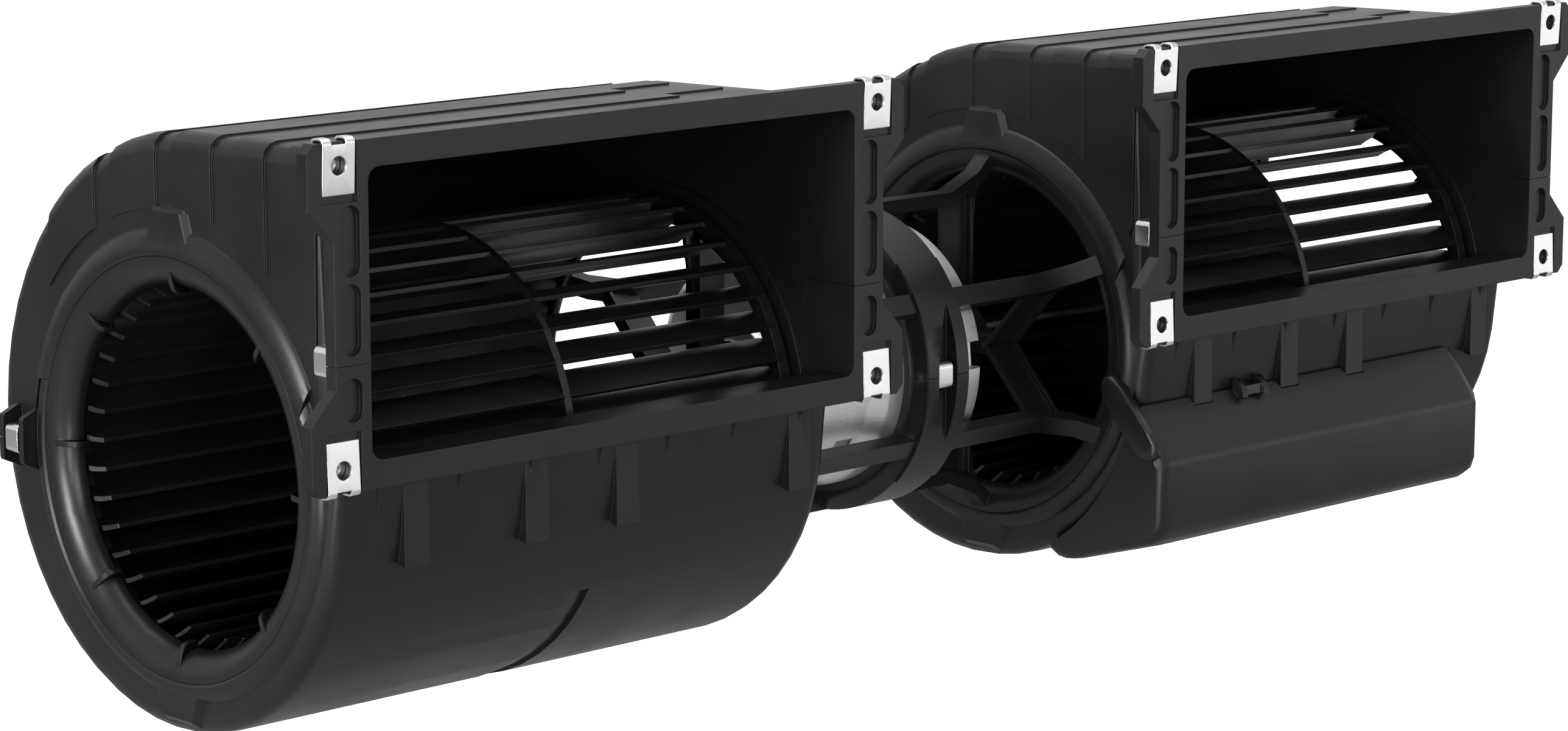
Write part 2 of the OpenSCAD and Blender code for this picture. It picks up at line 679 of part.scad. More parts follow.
// Motor
bearing_r = 8.5;
bearing_w = 6;
end_wall = 3;
lug_r = 3.4;
lug_angle = 12;
lug_pitch_r = motor_r - 0.5;
screw_head_r = 3.1;
screw_r = 1.75;
housing_end = carrier_right + 1.5;
module motor_damper() color([0.05, 0.05, 0.05]) difference() {
    tube(damper_r - 0.05, motor_r + 0.05, -carrier_left + 0.5, carrier_right - 0.5);
    for (i = [0:23]) rotate([i*15, 0, 0])
        block([-carrier_left + 1.6, -0.8, damper_r - 0.9], [carrier_right - 1.6, 0.8, damper_r + 1]);
}
module lug_places() for (i = [0:2]) rotate([90 + lug_angle + i*120, 0, 0]) translate([0, 0, lug_pitch_r]) children();
module motor_housing() color([0.72, 0.73, 0.74]) difference() {
    union() {
        turned() polygon([
            [0, -motor_left], [motor_r - 3, -motor_left], [motor_r + 1, -motor_left + 3.5],
            [motor_r + 1, -carrier_left - 3], [motor_r, -carrier_left - 2], [motor_r, housing_end],
            [0, housing_end]]);
        lug_places() rod(lug_r, -motor_left + 4, -carrier_left - 1.5);
        round_x(12) block([-motor_left + 4, -0.7, motor_r], [-carrier_left - 4, 0.7, motor_r + 2]);
    }
    difference() {
        rod(motor_r - motor_wall, -motor_left + end_wall, housing_end + 1);
        rod(bearing_r + 2.4, -motor_left, -motor_left + bearing_w);
    }
    rod(bearing_r + 0.02, -motor_left - 1, -motor_left + bearing_w + 1);
    lug_places() {
        rod(screw_r, -motor_left - 1, 0);
        rod(screw_head_r + 0.15, -motor_left - 1, -motor_left + 4);
    }
}
cap_slot_half = 3.4;
module motor_end_cap() color([0.78, 0.79, 0.8]) difference() {
    union() {
        turned() polygon([
            [bearing_r + 0.02, housing_end + 0.1], [motor_r - motor_wall - 0.1, housing_end + 0.1],
            [motor_r + 1.6, housing_end + 0.1], [motor_r + 2, housing_end + 1.5],
            [motor_r + 2, motor_right - 2], [motor_r, motor_right], [bearing_r + 0.02, motor_right]]);
        tube(motor_r - motor_wall - 0.1, motor_r - 2*motor_wall, housing_end - 3, housing_end + 1);
    }
    for (side = [0, 180]) rotate([side - 4.5, 0, 0])
        block([housing_end - 4, -far, -cap_slot_half], [motor_right + 1, -motor_r + 3, cap_slot_half]);
    tube(motor_r - 5.5, bearing_r + 2.4, housing_end - 1, motor_right - 2.6);
    round_x(8, 22.5) block([motor_right - 1.6, -2.6, bearing_r + 5], [far, 2.6, motor_r - 6]);
}
module motor_screws() color(zinc) lug_places() {
    rod(screw_r - 0.05, -motor_left + 3.8, -carrier_left - 2);
    rod(screw_head_r, -motor_left + 1.6, -motor_left + 3.9);
}
module bearing(from) color([0.8, 0.8, 0.82]) difference() {
    tube(bearing_r, shaft_r + shaft_gap, from, from + bearing_w);
    for (x = [from - 1, from + bearing_w - 0.6]) tube(bearing_r - 1.6, shaft_r + 1.9, x, x + 1.6);
}
stator_x0 = -26;
stator_x1 = 2;
stator_in_r = rotor_r + air_gap;
stator_out_r = motor_r - motor_wall - 0.05;
stator_yoke = 3.2;
tooth_w = 4;
module stator_core() color([0.45, 0.46, 0.48]) along_x(stator_x0, stator_x1) difference() {
    union() {
        difference() {
            circle(r = stator_out_r);
            circle(r = stator_out_r - stator_yoke);
        }
        intersection() {
            for (i = [0:tooth_count - 1]) rotate(i*360/tooth_count) union() {
                translate([stator_in_r - 1, -tooth_w/2]) square([stator_out_r - stator_in_r - 0.5, tooth_w]);
                translate([stator_in_r - 1, -tooth_w]) square([2.6, 2*tooth_w]);
            }
            circle(r = stator_out_r - 1);
        }
    }
    circle(r = stator_in_r);
}
coil_t = 1.6;
coil_over = 3;
module stator_windings() color([0.72, 0.38, 0.16]) round_x(tooth_count, 90) difference() {
    block([stator_x0 - coil_over, -tooth_w/2 - coil_t, stator_in_r + 2.4],
          [stator_x1 + coil_over, tooth_w/2 + coil_t, stator_out_r - stator_yoke - 0.8]);
    block([stator_x0 - 0.1, -tooth_w/2 - 0.1, 0], [stator_x1 + 0.1, tooth_w/2 + 0.1, far]);
}
magnet_t = 2.4;
magnet_gap = 0.5;
module rotor_core() color([0.5, 0.5, 0.52]) tube(rotor_r - magnet_t, shaft_r + 0.02, stator_x0, stator_x1);
module rotor_magnets() color([0.3, 0.3, 0.32]) difference() {
    tube(rotor_r, rotor_r - magnet_t + 0.02, stator_x0 + 0.5, stator_x1 - 0.5);
    round_x(magnet_count) block([-far, -magnet_gap, 0], [far, magnet_gap, far]);
}
board_x = stator_x1 + coil_over + 0.8;
module motor_board() color([0.1, 0.35, 0.2]) {
    tube(motor_r - 2*motor_wall - 0.6, bearing_r + 3, board_x, board_x + 1.2);
}

// Shaft with a flat where each wheel hub seats
shaft_end = blower_x + hub_half + 2;
module shaft() color([0.75, 0.76, 0.78]) {
    rod(shaft_r, -shaft_end + 0.8, shaft_end - 0.8);
    both_sides() translate([shaft_end - 0.8, 0, 0]) rotate([0, 90, 0])
        cylinder(r1 = shaft_r, r2 = shaft_r - 0.7, h = 0.8);
}

// Hood over the electronics below the right outlet, with a snout for the motor lead on its left
cover_left = side_out + cover_side;
cover_top_z = -12.6;
cover_r = 4;
cover_bottom_z = -55.6;
cover_nose_low = -42;
module cover_outline() polygon([
    [lip_y + 1, cover_top_z], [-cover_reach + 3.2, -21.2], [-cover_reach + 0.8, -24.2], [-cover_reach, -27],
    [-cover_reach, cover_nose_low], [-cover_reach + 1.2, -45.4], [-cover_reach + 4, -47.6], [-34.5, cover_bottom_z + 0.6],
    [-31.4, cover_bottom_z], [-28.5, cover_bottom_z + 0.3], [-24.5, cover_bottom_z + 2.6], [-20, cover_bottom_z + 6],
    [-20, -44], [-46, cover_top_z - 6], [-50, cover_top_z]]);
module cover_block(inset) hull() for (step = [0:2]) {
    edge = cover_r*(1 - sin(step*45));
    ends = cover_r*(1 - cos(step*45));
    along_x(-cover_left + inset + ends, cover_right - inset - ends) offset(delta = -inset - edge*0.5) cover_outline();
}
snout_out = cover_left + 1.3;
snout_in = cover_left - 1.2;
module snout_outline() polygon([
    [-45, -5.6], [-47.4, -5.2], [-50.6, -7.6], [-55, -12], [-60, -17.4], [-62.4, -20.8], [-62.8, -23.8],
    [-61, -25.6], [-57, -24.8], [-53, -21.6], [-48.5, -16.4], [-45.2, -12.6], [-44.2, -10.8], [-44, -7.4]]);
module snout() hull() {
    along_x(-snout_out, -snout_in) offset(delta = -0.8) snout_outline();
    along_x(-snout_out + 0.8, -snout_in) snout_outline();
}
finger_lefts = [-39, -30.6];
finger_w = 1.8;
module cover_fingers() {
    for (x = finger_lefts) along_x(x, x + finger_w) polygon([
        [lip_y + 2, cover_top_z + 2.8], [lip_y - 0.2, cover_top_z + 2.6], [lip_y - 2.4, cover_top_z],
        [lip_y - 2.8, cover_top_z - 2], [lip_y + 1, cover_top_z - 2]]);
    along_x(finger_lefts[0], finger_lefts[1]) polygon([
        [lip_y + 2, cover_top_z + 1], [lip_y - 1.6, cover_top_z + 0.8], [lip_y - 2, cover_top_z - 1.6],
        [lip_y + 1, cover_top_z - 1.6]]);
}
module electronics_cover() color(plastic) translate([blower_x, 0, 0]) {
    difference() {
        union() {
            difference() {
                cover_block(0);
                cover_block(cover_wall);
            }
            cover_fingers();
        }
        along_x(-far, far) offset(delta = cover_gap) body_outline();
        for (x = pad_lefts) block([x - 0.25, lip_y - 0.2 - cover_gap, pad_low - 0.25], [x + pad_w + 0.25, 0, 0]);
    }
    snout();
}

// Control board inside the hood
board_t = 1.6;
board_y = -cover_reach + cover_wall + 3.4;
board_h = 18;
board_inset_left = 19.5;
board_inset_right = 13.4;
board_z0 = cover_nose_low;
board_z1 = board_z0 + board_h;
board_left = blower_x - cover_left + board_inset_left;
board_right = blower_x + cover_right - board_inset_right;
module control_board() color([0.1, 0.35, 0.2]) {
    block([board_left, board_y, board_z0], [board_right, board_y + board_t, board_z1]);
    for (x = [board_left + 6, (board_left + board_right)/2, board_right - 6])
        translate([x, board_y + 0.1, (board_z0 + board_z1)/2]) rotate([90, 0, 0])
            cylinder(r = 2.2, h = 3.3);
}
module board_components() color([0.2, 0.2, 0.22]) {
    y0 = board_y + board_t + 0.05;
    for (i = [0:2]) translate([board_left + 14 + i*11, y0 + 5, board_z0 + 4]) rotate([90, 0, 0]) cylinder(r = 4, h = 5, $fn = 32);
    for (i = [0:3]) block([board_left + 50 + i*9, y0, board_z0], [board_left + 56 + i*9, y0 + 2.4, board_z0 + 6]);
    block([board_left + 12, y0, board_z0 + 10], [board_left + 40, y0 + 3, board_z0 + 14]);
}

module placed() translate([0, flange_reach, -outlet_rise]) children();
module at_left() placed() translate([-blower_x, 0, 0]) children();
module at_right() placed() translate([blower_x, 0, 0]) children();

at_left() upper_shell();  // left_upper_shell
at_left() lower_shell();  // left_lower_shell
at_left() mirror([1, 0, 0]) inlet_ring();  // left_inlet_ring
at_left() wheel();  // left_wheel
at_left() mirror([1, 0, 0]) hub_clip();  // left_hub_clip
at_left() flange_nuts();  // left_flange_nuts
at_left() shell_clips();  // left_shell_clips
at_right() upper_shell();  // right_upper_shell
at_right() lower_shell();  // right_lower_shell
at_right() inlet_ring();  // right_inlet_ring
at_right() wheel();  // right_wheel
at_right() hub_clip();  // right_hub_clip
at_right() flange_nuts();  // right_flange_nuts
at_right() shell_clips();  // right_shell_clips
placed() carrier_half_shell();  // carrier_upper
placed() carrier_lower();
placed() carrier_clips();
placed() mirror([1, 0, 0]) shaft_bush();  // left_shaft_bush
placed() shaft_bush();  // right_shaft_bush
placed() motor_damper();
placed() motor_housing();
placed() motor_end_cap();
placed() motor_screws();
placed() bearing(-motor_left - 0.5);  // left_bearing
placed() bearing(motor_right - bearing_w);  // right_bearing
placed() stator_core();
placed() stator_windings();
placed() rotor_core();
placed() rotor_magnets();
placed() motor_board();
placed() shaft();
placed() electronics_cover();
placed() control_board();
placed() board_components();
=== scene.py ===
"""Studio picture of a double inlet centrifugal blower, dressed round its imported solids."""

import json
import logging
import math
from collections.abc import Callable
from dataclasses import dataclass
from enum import Enum
from functools import cache

import bmesh
import bpy
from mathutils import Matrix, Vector


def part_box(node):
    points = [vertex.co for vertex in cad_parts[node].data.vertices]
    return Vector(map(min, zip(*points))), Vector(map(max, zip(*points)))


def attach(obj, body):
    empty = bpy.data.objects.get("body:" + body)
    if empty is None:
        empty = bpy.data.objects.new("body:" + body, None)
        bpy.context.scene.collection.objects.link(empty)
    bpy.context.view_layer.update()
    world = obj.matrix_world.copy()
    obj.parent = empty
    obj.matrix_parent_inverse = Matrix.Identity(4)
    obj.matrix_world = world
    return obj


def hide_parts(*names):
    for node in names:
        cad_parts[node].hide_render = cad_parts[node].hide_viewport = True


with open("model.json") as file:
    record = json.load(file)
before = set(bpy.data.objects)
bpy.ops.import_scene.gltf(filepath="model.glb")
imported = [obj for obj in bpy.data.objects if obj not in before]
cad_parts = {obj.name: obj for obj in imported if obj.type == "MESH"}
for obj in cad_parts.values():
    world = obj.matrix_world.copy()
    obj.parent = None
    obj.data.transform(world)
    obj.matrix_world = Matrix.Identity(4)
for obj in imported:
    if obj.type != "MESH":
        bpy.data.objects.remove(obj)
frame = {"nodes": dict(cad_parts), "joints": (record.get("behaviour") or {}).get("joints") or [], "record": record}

log = logging.getLogger("blower")
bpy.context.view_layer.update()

Triple = tuple[float, float, float]
Pair = tuple[float, float]
Socket = bpy.types.NodeSocket

# The shaft's line, from the joint that turns the rotor, and the middle of the right blower
SHAFT_Y, SHAFT_Z = frame["joints"][0]["pos_m"][1:]
BLOWER_X = round(sum(corner.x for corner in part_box("right_wheel")) / 2, 5)

MM_PER_M = 1000
WHITE = (1, 1, 1, 1)
# Noise patterns lie mostly between these two values
NOISE_LOW, NOISE_HIGH = 0.3, 0.7
# Places of the number and colour sockets of a mix node
MIX_NUMBERS, MIX_COLOURS, MIX_COLOUR_OUT = slice(2, 4), slice(6, 8), 2
# Vertices nearer than this, in metres, count as one
SAME_POINT = 0.000001
# How strongly large faces pull the shading of their edges
FLAT_WEIGHT = 50
# Edges of new pieces that are sharper than this, in degrees, stay sharp
PIECE_ANGLE = 40.0


def set_inputs(node: bpy.types.Node, values: dict[str, object]) -> bpy.types.Node:
    """Sets the named input sockets of a node.

    Args:
        node: The node to set.
        values: Socket names and the value of each.

    Returns:
        The same node.
    """
    for name, value in values.items():
        node.inputs[name].default_value = value
    return node


class Nodes:
    """Short ways to add and join the nodes of one material."""

    def __init__(self, name: str) -> None:
        """Starts an empty material.

        Args:
            name: The material's name.
        """
        self.material = bpy.data.materials.new(name)
        self.material.use_nodes = True
        self.tree = self.material.node_tree
        self.tree.nodes.clear()
        self.place = self.add("ShaderNodeTexCoord").outputs["Object"]

    def add(
        self, kind: str, values: dict[str, object] | None = None, **settings: object
    ) -> bpy.types.Node:
        """Adds one node.

        Args:
            kind: Blender's name for the node type.
            values: Input sockets to set.
            settings: Attributes of the node to set.

        Returns:
            The new node.
        """
        node = self.tree.nodes.new(kind)
        for name, value in settings.items():
            setattr(node, name, value)
        return set_inputs(node, values or {})

    def join(self, source: Socket | float, target: Socket) -> None:
        """Feeds an input from an output or with a number.

        Args:
            source: The output socket, or the number.
            target: The input socket.
        """
        if isinstance(source, Socket):
            self.tree.links.new(source, target)
        else:
            target.default_value = source

    def noise(self, scale: float, detail: float, stretch: Triple = (1, 1, 1)) -> Socket:
        """Adds a noise pattern fixed to the object.

        Args:
            scale: Spots per metre.
            detail: Octaves of the noise.
            stretch: Scale along each axis.

        Returns:
            The pattern's value socket.
        """
        mapping = self.add("ShaderNodeMapping", {"Scale": stretch})
        self.join(self.place, mapping.inputs["Vector"])
        noise = self.add("ShaderNodeTexNoise", {"Scale": scale, "Detail": detail})
        self.join(mapping.outputs["Vector"], noise.inputs["Vector"])
        return noise.outputs["Fac"]

    def spread(self, source: Socket, low: float, high: float) -> Socket:
        """Maps a noise pattern to a chosen range.

        Args:
            source: The pattern.
            low: Value at its dark spots.
            high: Value at its bright spots.

        Returns:
            The mapped value socket.
        """
        values = {"From Min": NOISE_LOW, "From Max": NOISE_HIGH, "To Min": low, "To Max": high}
        node = self.add("ShaderNodeMapRange", values)
        self.join(source, node.inputs["Value"])
        return node.outputs["Result"]

    def below(self, value: Socket, limit: float) -> Socket:
        """Adds a test whether a value is below a limit.

        Args:
            value: The value to test.
            limit: The limit.

        Returns:
            A socket that is 1 below the limit and 0 above it.
        """
        node = self.add("ShaderNodeMath", operation="LESS_THAN")
        self.join(value, node.inputs[0])
        self.join(limit, node.inputs[1])
        return node.outputs[0]

    def blend(self, factor: Socket, a: Socket | float, b: Socket | float) -> Socket:
        """Blends two values.

        Args:
            factor: 0 for all of the first value, 1 for all of the second.
            a: First value.
            b: Second value.

        Returns:
            The blended value socket.
        """
        node = self.add("ShaderNodeMix", data_type="FLOAT")
        self.join(factor, node.inputs[0])
        for socket, value in zip(node.inputs[MIX_NUMBERS], (a, b)):
            self.join(value, socket)
        return node.outputs[0]

    def tint(self, factor: Socket, dark: Triple, light: Triple) -> Socket:
        """Blends two colours.

        Args:
            factor: 0 for all of the dark colour, 1 for all of the light one.
            dark: First colour.
            light: Second colour.

        Returns:
            The blended colour socket.
        """
        node = self.add("ShaderNodeMix", data_type="RGBA")
        self.join(factor, node.inputs[0])
        for socket, colour in zip(node.inputs[MIX_COLOURS], (dark, light)):
            socket.default_value = (*colour, 1)
        return node.outputs[MIX_COLOUR_OUT]


@dataclass(frozen=True)
class Finish:
    """One finish with fine relief, uneven gloss and softened edges."""

    name: str
    colour: Triple
    colour_change: float = 0.12
    roughness: float = 0.45
    roughness_change: float = 0.06
    metallic: float = 0.0
    grain_scale: float = 2200.0
    grain_detail: float = 3.0
    grain_depth: float = 0.00004
    grain_strength: float = 0.3
    stretch: Triple = (1.0, 1.0, 1.0)
    cloud_scale: float = 45.0
    cloud_detail: float = 4.0
    edge_radius: float = 0.0003
    edge_samples: int = 4
    ior: float = 1.45
    specular: float = 0.5

    def make(self) -> bpy.types.Material:
        """Builds the material.

        Returns:
            The finished material.
        """
        nodes = Nodes(self.name)
        cloud = nodes.noise(self.cloud_scale, self.cloud_detail)
        grain = nodes.noise(self.grain_scale, self.grain_detail, self.stretch)
        shader = nodes.add("ShaderNodeBsdfPrincipled", {
            "Metallic": self.metallic, "IOR": self.ior, "Specular IOR Level": self.specular})
        dark = tuple(c * (1 - self.colour_change) for c in self.colour)
        light = tuple(c * (1 + self.colour_change) for c in self.colour)
        shade = nodes.tint(nodes.spread(cloud, 0.0, 1.0), dark, light)
        rough = nodes.spread(
            cloud, self.roughness - self.roughness_change, self.roughness + self.roughness_change)
        nodes.join(shade, shader.inputs["Base Color"])
        nodes.join(rough, shader.inputs["Roughness"])
        nodes.join(self.relief(nodes, grain), shader.inputs["Normal"])
        output = nodes.add("ShaderNodeOutputMaterial")
        nodes.join(shader.outputs[0], output.inputs["Surface"])
        return nodes.material

    def relief(self, nodes: Nodes, height: Socket) -> Socket:
        """Adds the edge softening and the fine relief.

        Args:
            nodes: The material in the making.
            height: Height pattern of the grain.

        Returns:
            The normal socket.
        """
        values = {"Strength": self.grain_strength, "Distance": self.grain_depth}
        bump = nodes.add("ShaderNodeBump", values)
        nodes.join(height, bump.inputs["Height"])
        edge = nodes.add(
            "ShaderNodeBevel", {"Radius": self.edge_radius}, samples=self.edge_samples)
        nodes.join(edge.outputs[0], bump.inputs["Normal"])
        return bump.outputs[0]


@dataclass(frozen=True)
class MouldedPlastic(Finish):
    """Dark moulded plastic; the flange fronts carry fine lines along the shaft."""

    line_scale: float = 60.0
    line_detail: float = 4.0
    line_stretch: Triple = (0.35, 1.0, 60.0)
    front_depth: float = 0.0006

    def relief(self, nodes: Nodes, height: Socket) -> Socket:
        """Blends the grain into fine lines on the flange fronts.

        Args:
            nodes: The material in the making.
            height: Height pattern of the grain.

        Returns:
            The normal socket.
        """
        lines = nodes.noise(self.line_scale, self.line_detail, self.line_stretch)
        split = nodes.add("ShaderNodeSeparateXYZ")
        nodes.join(nodes.place, split.inputs[0])
        front = nodes.below(split.outputs["Y"], self.front_depth)
        return super().relief(nodes, nodes.blend(front, height, lines))


# The finish of each material slot of the record
FINISHES: dict[str, Finish] = {
    "black_plastic": MouldedPlastic(
        "moulded plastic", (0.0062, 0.0062, 0.0059), roughness=0.34, grain_scale=2600.0),
    "zinc": Finish(
        "bright zinc", (0.93, 0.94, 0.96), colour_change=0.02, roughness=0.2,
        roughness_change=0.03, metallic=1.0, grain_scale=900.0, grain_depth=0.00001,
        grain_strength=0.12),
    "shaft_steel": Finish(
        "ground steel", (0.93, 0.93, 0.95), colour_change=0.04, roughness=0.14,
        roughness_change=0.03, metallic=1.0, grain_scale=900.0, grain_depth=0.00002,
        stretch=(4.0, 0.2, 0.2)),
    "bush_metal": Finish(
        "sintered bush", (0.62, 0.6, 0.56), colour_change=0.1, roughness=0.38,
        roughness_change=0.08, metallic=1.0, grain_scale=3200.0, grain_depth=0.00003,
        grain_strength=0.4),
    "housing_metal": Finish(
        "cast aluminium", (0.86, 0.86, 0.86), colour_change=0.06, roughness=0.42,
        roughness_change=0.08, metallic=0.9, grain_scale=1300.0, grain_depth=0.00012,
        grain_strength=0.7),
    "cap_metal": Finish(
        "cast cap", (0.7, 0.7, 0.7), colour_change=0.08, roughness=0.36, roughness_change=0.1,
        metallic=1.0, grain_scale=1700.0, grain_depth=0.00007, grain_strength=0.45),
    "damper_rubber": Finish(
        "damping rubber", (0.012, 0.012, 0.012), colour_change=0.15, roughness=0.75,
        roughness_change=0.08, grain_scale=1800.0, grain_depth=0.00005, grain_strength=0.4),
    "bearing_steel": Finish(
        "polished steel", (0.72, 0.73, 0.75), colour_change=0.05, roughness=0.18,
        roughness_change=0.03, metallic=1.0, grain_scale=600.0, grain_depth=0.00001,
        grain_strength=0.2),
    "core_steel": Finish(
        "laminated steel", (0.3, 0.31, 0.33), colour_change=0.1, roughness=0.4,
        roughness_change=0.08, metallic=1.0, grain_scale=1400.0, grain_strength=0.5,
        stretch=(3.0, 0.1, 0.1)),
    "copper": Finish(
        "enamelled copper", (0.62, 0.27, 0.1), roughness=0.32, metallic=1.0,
        grain_scale=900.0, grain_depth=0.00012, grain_strength=0.8, stretch=(3.0, 0.2, 0.2)),
    "magnet": Finish(
        "ground magnet", (0.2, 0.2, 0.22), colour_change=0.1, roughness=0.4, metallic=1.0,
        grain_scale=1500.0, grain_depth=0.00002),
    "board": Finish(
        "lacquered board", (0.02, 0.12, 0.05), colour_change=0.15, roughness=0.3,
        roughness_change=0.05, grain_scale=900.0, grain_depth=0.00003, grain_strength=0.4),
    "board_part": Finish(
        "board part", (0.02, 0.02, 0.022), colour_change=0.15, roughness=0.5,
        roughness_change=0.08, grain_scale=1500.0, grain_depth=0.00003, grain_strength=0.4),
}


@cache
def finish_of(slot: str) -> bpy.types.Material:
    """Makes a slot's material once and hands it out.

    Args:
        slot: The record's material slot.

    Returns:
        The material.
    """
    return FINISHES[slot].make()


@dataclass(frozen=True)
class Lamp:
    """A soft rectangular lamp: place, aim, size across and up in metres, power in watts."""

    place: Triple
    aim: Triple
    size: Pair
    power: float

    def build(self, name: str) -> None:
        """Hangs the lamp in the studio.

        Args:
            name: The lamp's name.
        """
        data = bpy.data.lights.new(name, "AREA")
        data.shape = "RECTANGLE"
        data.size, data.size_y = self.size
        data.energy = self.power
        item = bpy.data.objects.new(name, data)
        item.location = self.place
        ray = Vector(self.aim) - Vector(self.place)
        item.rotation_euler = ray.to_track_quat("-Z", "Y").to_euler()
        bpy.context.scene.collection.objects.link(item)


class Light(Enum):
    """The lamps of the studio."""

    OVERHEAD = Lamp((0.1, 0.1, 1.3), (0.0, 0.1, 0.0), (1.8, 1.4), 18.0)
    FRONT_CARD = Lamp((1.3, -1.3, -0.3), (0.0, 0.0, 0.0), (1.8, 1.0), 4.6)
    FRONT = Lamp((-0.9, -1.6, 0.3), (0.0, 0.0, 0.0), (0.9, 0.6), 9.0)
    LEFT_END = Lamp((-1.8, -0.12, 0.26), (-0.2, 0.0, -0.03), (0.45, 0.6), 26.0)
    LEFT_EDGE = Lamp((-1.05, -0.75, -0.17), (-0.15, 0.0, -0.05), (0.14, 0.3), 3.0)


@dataclass
class Studio:
    """Camera, lamps, floor and surroundings."""

    camera_place: Triple = (-0.7784, -0.7145, 0.1538)
    camera_aim: Triple = (0.68823, 0.7036, -0.17688)
    lens: float = 102.417
    sensor: float = 36.0
    shift: Pair = (-0.00256, -0.00012)
    sight: Pair = (0.05, 100.0)
    floor_z: float = -0.36
    floor_half: float = 30.0
    floor_seen: float = 0.8
    floor_glow: float = 0.65
    floor_mirrored: float = 0.31
    room_light: float = 0.65
    room_seen: float = 1.0

    def camera(self) -> None:
        """Places the camera where the photograph was taken."""
        data = bpy.data.cameras.new("camera")
        data.lens, data.sensor_width = self.lens, self.sensor
        data.shift_x, data.shift_y = self.shift
        data.clip_start, data.clip_end = self.sight
        camera = bpy.data.objects.new("camera", data)
        camera.location = self.camera_place
        camera.rotation_euler = Vector(self.camera_aim).to_track_quat("-Z", "Y").to_euler()
        bpy.context.scene.collection.objects.link(camera)
        bpy.context.scene.camera = camera

    def surroundings(self) -> None:
        """Makes a pale room that the camera sees as white."""
        world = bpy.data.worlds.new("studio")
        bpy.context.scene.world = world
        world.use_nodes = True
        tree = world.node_tree
        tree.nodes.clear()
        path = tree.nodes.new("ShaderNodeLightPath")
        mix = tree.nodes.new("ShaderNodeMixShader")
        output = tree.nodes.new("ShaderNodeOutputWorld")
        tree.links.new(path.outputs["Is Camera Ray"], mix.inputs[0])
        for place, strength in enumerate((self.room_light, self.room_seen), start=1):
            values = {"Color": WHITE, "Strength": strength}
            light = set_inputs(tree.nodes.new("ShaderNodeBackground"), values)
            tree.links.new(light.outputs[0], mix.inputs[place])
        tree.links.new(mix.outputs[0], output.inputs[0])

    def floor_finish(self) -> bpy.types.Material:
        """Makes a pale matt finish that the camera sees brighter than the blower does.

        Returns:
            The finished material.
        """
        def grey(shade: float) -> dict[str, object]:
            """Gives the input of a matt shader of one grey."""
            return {"Color": (shade, shade, shade, 1)}

        nodes = Nodes("pale floor")
        path = nodes.add("ShaderNodeLightPath")
        matt = nodes.add("ShaderNodeBsdfDiffuse", grey(self.floor_seen))
        dim = nodes.add("ShaderNodeBsdfDiffuse", grey(self.floor_mirrored))
        glow = nodes.add("ShaderNodeEmission", {"Color": WHITE, "Strength": self.floor_glow})
        bright = nodes.add("ShaderNodeAddShader")
        mix = nodes.add("ShaderNodeMixShader")
        output = nodes.add("ShaderNodeOutputMaterial")
        nodes.join(matt.outputs[0], bright.inputs[0])
        nodes.join(glow.outputs[0], bright.inputs[1])
        nodes.join(path.outputs["Is Camera Ray"], mix.inputs[0])
        nodes.join(dim.outputs[0], mix.inputs[1])
        nodes.join(bright.outputs[0], mix.inputs[2])
        nodes.join(mix.outputs[0], output.inputs["Surface"])
        return nodes.material

    def floor(self) -> None:
        """Lays a pale floor well below the mounted blower; it keeps the shadow."""
        mesh = bpy.data.meshes.new("floor")
        h, z = self.floor_half, self.floor_z
        mesh.from_pydata([(-h, -h, z), (h, -h, z), (h, h, z), (-h, h, z)], [], [(0, 1, 2, 3)])
        floor = bpy.data.objects.new("floor", mesh)
        bpy.context.scene.collection.objects.link(floor)
        mesh.materials.append(self.floor_finish())

    def build(self) -> None:
        """Sets up the whole studio."""
        bpy.context.scene.view_settings.view_transform = "Standard"
        self.camera()
        for light in Light:
            light.value.build(light.name.lower())
        self.surroundings()
        self.floor()


@dataclass(frozen=True)
class Box:
    """Lowest and highest corner of one solid."""

    low: Vector
    high: Vector

    @property
    def middle(self) -> Vector:
        """The centre of the box."""
        return (self.low + self.high) / 2


def solids(item: bpy.types.Object) -> list[Box]:
    """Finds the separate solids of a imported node.

    Args:
        item: The node's object.

    Returns:
        The box of each solid.
    """
    group: dict[tuple[int, ...], tuple[int, ...]] = {}

    def root(key: tuple[int, ...]) -> tuple[int, ...]:
        """Follows a point of a solid to the point that stands for the whole solid."""
        while group[key] != key:
            group[key] = group[group[key]]
            key = group[key]
        return key

    keys = [tuple(round(c / SAME_POINT) for c in vertex.co) for vertex in item.data.vertices]
    for key in keys:
        group.setdefault(key, key)
    for face in item.data.polygons:
        first = root(keys[face.vertices[0]])
        for index in face.vertices[1:]:
            group[root(keys[index])] = first
    spots: dict[tuple[int, ...], list[Vector]] = {}
    for key, vertex in zip(keys, item.data.vertices):
        spots.setdefault(root(key), []).append(item.matrix_world @ vertex.co)
    return [
        Box(Vector(map(min, zip(*points))), Vector(map(max, zip(*points))))
        for points in spots.values()
    ]


def shade_curves(item: bpy.types.Object, angle: float) -> None:
    """Shades the curved walls of a new piece smooth and keeps its real edges sharp.

    Args:
        item: The piece to shade.
        angle: Edges sharper than this, in degrees, stay sharp.
    """
    for other in bpy.context.selected_objects:
        other.select_set(False)
    item.select_set(True)
    bpy.context.view_layer.objects.active = item
    bpy.ops.object.shade_smooth_by_angle(angle=math.radians(angle))


def shade_flats(item: bpy.types.Object) -> None:
    """Adds the modifier that shades flat faces flat up to their rounded edges.

    Args:
        item: The object to shade.
    """
    flat = item.modifiers.new("flat faces", "WEIGHTED_NORMAL")
    flat.keep_sharp, flat.weight = True, FLAT_WEIGHT


